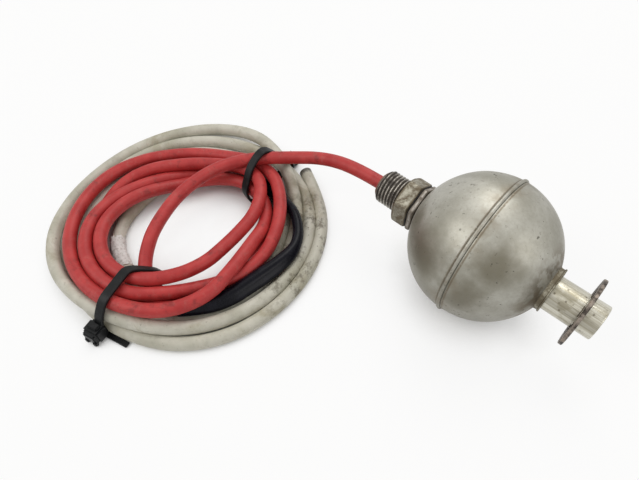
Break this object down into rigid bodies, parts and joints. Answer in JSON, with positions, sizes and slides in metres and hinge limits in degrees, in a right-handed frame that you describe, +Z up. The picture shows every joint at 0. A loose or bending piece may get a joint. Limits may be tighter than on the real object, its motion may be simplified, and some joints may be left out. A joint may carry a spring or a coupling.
{
  "type": "float level switch",
  "caption": "Stainless ball float level switch with threaded nipple, hexagon nut, guide stem with retaining clip, and a tied coil of spliced red and grey cable.",
  "frame": {"origin": "centre of the bare switch's length and width (cable left out), on the surface it lies on", "axes": "+X along the stem from the thread towards the free end, +Z up from the surface it lies on, the cable coil lies towards -X and -Y"},
  "size_m": [0.2016, 0.14, 0.0534],
  "materials": {
    "fitting_steel": "turned stainless steel, dark in the thread valleys",
    "nut_steel": "stainless steel stained brown",
    "stem_steel": "drawn stainless tube, lightly polished",
    "clip_steel": "spring steel, dark and rusty",
    "float_steel": "pressed stainless steel, satin and blotchy",
    "collar_steel": "stainless tube",
    "retainer_steel": "stamped steel",
    "blade_steel": "nickel-iron reed",
    "ferrite": "sintered ferrite",
    "gasket_rubber": "black rubber",
    "resin": "brown potting resin",
    "red_silicone": "dull silicone jacket",
    "grey_pvc": "soiled grey PVC jacket",
    "black_sleeve": "shrunk black sleeve",
    "black_nylon": "black nylon",
    "capsule_glass": "clear green-tinted glass",
    "carrier_board": "glass-fibre strip",
    "core_wire": "insulated core",
    "crimp_brass": "tinned brass crimp"
  },
  "bodies": {
    "switch": {"core_wire_far": "core_wire", "core_wire_near": "core_wire", "crimp_far": "crimp_brass", "crimp_near": "crimp_brass", "grey_cable_coil": "grey_pvc", "lead_cable": "red_silicone", "lower_cable_tie": "black_nylon", "mounting_nut": "nut_steel", "potting_resin": "resin", "red_cable_coil": "red_silicone", "reed_blade_thread_side": "blade_steel", "reed_blade_tip_side": "blade_steel", "reed_carrier": "carrier_board", "reed_glass": "capsule_glass", "retaining_clip": "clip_steel", "sealing_gasket": "gasket_rubber", "splice_sleeve": "black_sleeve", "stem_end_plug": "stem_steel", "stem_tube": "stem_steel", "threaded_fitting": "fitting_steel", "upper_cable_tie": "black_nylon"},
    "float": {"float_shell_thread_side": "float_steel", "float_shell_tip_side": "float_steel", "float_bore_tube": "collar_steel", "float_magnet": "ferrite", "magnet_retainer_thread_side": "retainer_steel", "magnet_retainer_tip_side": "retainer_steel"}
  },
  "joints": [
    {"name": "float_slide", "type": "slide", "parent": "switch", "child": "float", "axis": [1, 0, 0], "range_m": [0, 0.01]}
  ]
}
